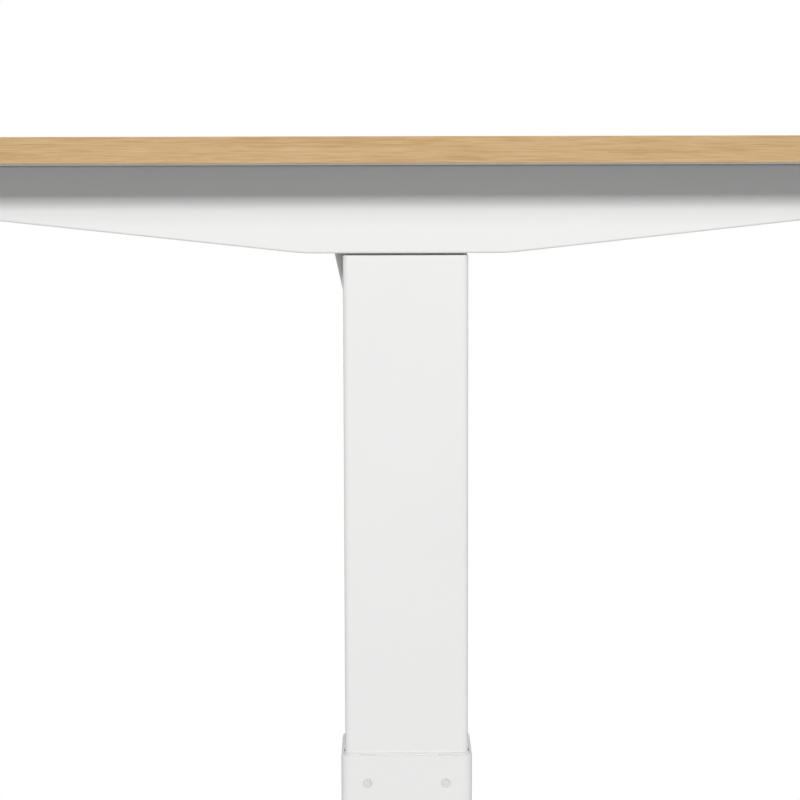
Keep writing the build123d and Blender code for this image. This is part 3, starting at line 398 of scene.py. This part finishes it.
slotMaterials = {
    "laminate_top": makeLaminate("laminateTop"),
    "white_steel": makePowderCoat("whitePowderCoat"),
    "circuit_board": makeCircuitBoard("circuitBoard"),
}
slotMaterials.update({name: makeMetal(name) for name in metals})
slotMaterials.update({name: makeMoulded(name) for name in moulded})
bandAlongX = makeEdgeBand("edgeBandAlongX", "X")
bandAlongY = makeEdgeBand("edgeBandAlongY", "Y")
nodeMaterials = {
    "edge_band_front": bandAlongX,
    "edge_band_rear": bandAlongX,
    "edge_band_left": bandAlongY,
    "edge_band_right": bandAlongY,
}
for side in ("left", "right"):
    screwLow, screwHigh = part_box(f"leadscrew_{side}")
    screwX = (screwLow.x + screwHigh.x) / 2
    nodeMaterials[f"leadscrew_{side}"] = makeRolledThread(f"rolledThread_{side}", screwX)

for part in frame["record"]["subparts"]:
    node = frame["nodes"][part["node"]]
    node.data.materials.clear()
    node.data.materials.append(nodeMaterials.get(part["node"]) or slotMaterials[part["material_slot"]])
print("materials set")


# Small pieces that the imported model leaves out

sharpAngle = 35


def makePiece(name, mesh, body, slotName, material=None):
    data = bpy.data.meshes.new(name)
    mesh.to_mesh(data)
    mesh.free()
    data.materials.append(material or slotMaterials[slotName])
    piece = bpy.data.objects.new(name, data)
    bpy.context.scene.collection.objects.link(piece)
    for face in data.polygons:
        face.use_smooth = True
    data.set_sharp_from_angle(angle=math.radians(sharpAngle))
    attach(piece, body)
    return piece


# A flat outline pushed out into a plate with softened edges, on a plane given by its matrix
def plate(mesh, outline, thickness, soften, matrix):
    corners = [mesh.verts.new(matrix @ Vector((x, y, 0))) for x, y in outline]
    face = mesh.faces.new(corners)
    raised = bmesh.ops.extrude_face_region(mesh, geom=[face])["geom"]
    lifted = [item for item in raised if isinstance(item, bmesh.types.BMVert)]
    push = matrix.to_3x3() @ Vector((0, 0, thickness))
    bmesh.ops.translate(mesh, verts=lifted, vec=push)
    rim = [edge for edge in mesh.edges if all(v in lifted for v in edge.verts)]
    bmesh.ops.bevel(mesh, geom=rim, offset=soften, segments=2, affect="EDGES", profile=0.6)
    bmesh.ops.recalc_face_normals(mesh, faces=mesh.faces)


buttonArrow = {"width": 0.0075, "height": 0.0045, "tip": 0.12, "raise": 0.0004, "soften": 0.00012}


def makeArrow(button, body, pointing):
    low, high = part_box(button)
    half = buttonArrow["width"] / 2
    tall = buttonArrow["height"] / 2 * pointing
    tip = half * buttonArrow["tip"]
    outline = [(-half, -tall), (half, -tall), (tip, tall), (-tip, tall)]
    caseLow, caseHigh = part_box("handset_case")
    faceMiddle = Vector(((low.x + high.x) / 2, low.y, (caseLow.z + caseHigh.z) / 2))
    facing = Matrix.Translation(faceMiddle) @ Matrix.Rotation(math.radians(90), 4, "X")
    mesh = bmesh.new()
    plate(mesh, outline, buttonArrow["raise"], buttonArrow["soften"], facing)
    makePiece(f"{button}_arrow", mesh, body, "button_rubber", slotMaterials["arrow_print"])


makeArrow("button_up", "up_button", 1)
makeArrow("button_down", "down_button", -1)

levelerHex = {"acrossFlats": 0.019, "bottom": 0.0048, "top": 0.0092, "soften": 0.0006}


# A hexagon on each levelling foot for a spanner
def makeLevelerHex(leveler):
    low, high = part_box(leveler)
    radius = levelerHex["acrossFlats"] / 2 / math.cos(math.radians(30))
    turns = [math.radians(a) for a in range(0, 360, 60)]
    outline = [(radius * math.cos(turn), radius * math.sin(turn)) for turn in turns]
    base = Vector(((low.x + high.x) / 2, (low.y + high.y) / 2, low.z + levelerHex["bottom"]))
    mesh = bmesh.new()
    thickness = levelerHex["top"] - levelerHex["bottom"]
    plate(mesh, outline, thickness, levelerHex["soften"], Matrix.Translation(base))
    makePiece(f"{leveler}_hex", mesh, leveler, "zinc_steel")


for end in ("front", "rear"):
    for side in ("left", "right"):
        makeLevelerHex(f"leveler_{end}_{side}")

ribs = {"pitch": 0.008, "width": 0.003, "raise": 0.0009, "soften": 0.0003}
boxRibs = {"count": 11, "length": 0.046}
coverRibs = {"count": 7, "length": 0.036, "outward": 0.0035}


# Cooling ribs under the control box and under each motor cover
def makeRibs(name, middle, body, slotName, count, length):
    mesh = bmesh.new()
    for row in range(count):
        offset = (row - (count - 1) / 2) * ribs["pitch"]
        half = ribs["width"] / 2
        outline = [(-half, -length / 2), (half, -length / 2), (half, length / 2), (-half, length / 2)]
        spot = Matrix.Translation(middle + Vector((offset, 0, 0))) @ Matrix.Rotation(math.pi, 4, "X")
        rib = bmesh.new()
        plate(rib, outline, ribs["raise"], ribs["soften"], spot)
        ribData = bpy.data.meshes.new("rib")
        rib.to_mesh(ribData)
        rib.free()
        mesh.from_mesh(ribData)
        bpy.data.meshes.remove(ribData)
    makePiece(name, mesh, body, slotName)


boxLow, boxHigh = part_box("control_box")
boxMiddle = Vector(((boxLow.x + boxHigh.x) / 2, 0, boxLow.z))
makeRibs("control_box_ribs", boxMiddle, "desktop", "black_plastic", boxRibs["count"], boxRibs["length"])
for side, sign in (("left", -1), ("right", 1)):
    coverLow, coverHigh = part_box(f"motor_cover_{side}")
    coverMiddle = (coverLow + coverHigh) / 2 + Vector((sign * coverRibs["outward"], 0, 0))
    coverMiddle.z = coverLow.z
    coverName = f"motor_cover_ribs_{side}"
    makeRibs(coverName, coverMiddle, "desktop", "white_plastic", coverRibs["count"], coverRibs["length"])
print("small pieces made")


# Studio: a pale floor that fades out into a white surround, two wide key lights and soft fills

studio = {
    "floorRadius": 1.34,
    "floorFade": (0.95, 1.30),
    "floorColour": (0.86, 0.86, 0.86),
    "dustShade": 0.98,
    "surroundSeen": 1.0,
    "surroundGlow": 0.30,
}

floorMesh = bmesh.new()
bmesh.ops.create_circle(floorMesh, cap_ends=True, segments=96, radius=studio["floorRadius"])
floorData = bpy.data.meshes.new("floor")
floorMesh.to_mesh(floorData)
floorMesh.free()
floor = bpy.data.objects.new("floor", floorData)
bpy.context.scene.collection.objects.link(floor)
paleFloor = Finish("paleFloor", {"Roughness": 0.7, "Specular IOR Level": 0.2})
reach = paleFloor.node("ShaderNodeVectorMath", {"operation": "LENGTH"}, {0: paleFloor.place()}, output=1)
fade = paleFloor.fit(reach, *studio["floorFade"], 1, 0)
dust = paleFloor.noise((30, 30, 30), detail=3)
dusty = shaded(studio["floorColour"], studio["dustShade"])
tone = paleFloor.mix(dust, studio["floorColour"], dusty)
paleFloor.feed({"Base Color": tone, "Alpha": fade})
floorData.materials.append(paleFloor.material)

surround = bpy.data.worlds.new("surround")
surround.use_nodes = True
bpy.context.scene.world = surround
background = surround.node_tree.nodes["Background"]
background.inputs["Color"].default_value = (1, 1, 1, 1)
seen = surround.node_tree.nodes.new("ShaderNodeLightPath")
blend = surround.node_tree.nodes.new("ShaderNodeMapRange")
blend.inputs["To Min"].default_value = studio["surroundGlow"]
blend.inputs["To Max"].default_value = studio["surroundSeen"]
surround.node_tree.links.new(seen.outputs["Is Camera Ray"], blend.inputs["Value"])
surround.node_tree.links.new(blend.outputs["Result"], background.inputs["Strength"])

lights = {
    # place from the worktop's end: out, across, up; what it faces; width, height, power
    "key": ((3.4, 0.0, 0.98), (0, 0, 0), 4.0, 0.40, 80.0),
    "keyAbove": ((3.4, 0.0, 1.31), (0, 0, 0), 4.0, 0.60, 31.0),
    "top": ((-0.7, 0.0, 2.40), (-0.7, 0, 0), 3.0, 2.0, 24.0),
    "leftSide": ((-0.75, -2.6, -0.25), (-0.75, 0, -0.25), 1.0, 1.8, 9.0),
    "rightSide": ((-0.75, 2.6, -0.25), (-0.75, 0, -0.25), 1.0, 1.8, 9.0),
    "farEnd": ((-4.4, 0.0, 0.10), (-1.4, 0, -0.30), 3.0, 1.6, 60.0),
}
endMiddle = Vector((cadBounds[1].x, 0, cadBounds[1].z))
for name, (offset, target, width, height, power) in lights.items():
    lamp = bpy.data.lights.new(name, "AREA")
    lamp.shape = "RECTANGLE"
    lamp.size, lamp.size_y, lamp.energy = width, height, power
    holder = bpy.data.objects.new(name, lamp)
    bpy.context.scene.collection.objects.link(holder)
    holder.location = endMiddle + Vector(offset)
    aim = Vector(target) - Vector(offset)
    holder.rotation_euler = aim.to_track_quat("-Z", "Y").to_euler()

camera = {
    "fromEnd": (1.1290, -0.0089, -0.0304),  # out from the worktop's end, across, up from its surface
    "heading": 89.746,
    "tilt": 5.891,
    "roll": -0.138,
    "lens": 91.0,
    "sensor": 36,
}
lens = bpy.data.cameras.new("camera")
lens.lens = camera["lens"]
lens.sensor_width = camera["sensor"]
viewer = bpy.data.objects.new("camera", lens)
bpy.context.scene.collection.objects.link(viewer)
viewer.matrix_world = (
    Matrix.Translation(endMiddle + Vector(camera["fromEnd"]))
    @ Matrix.Rotation(math.radians(camera["heading"]), 4, "Z")
    @ Matrix.Rotation(math.radians(90 - camera["tilt"]), 4, "X")
    @ Matrix.Rotation(math.radians(camera["roll"]), 4, "Z")
)
bpy.context.scene.camera = viewer
bpy.context.scene.view_settings.view_transform = "Standard"
print("studio ready")
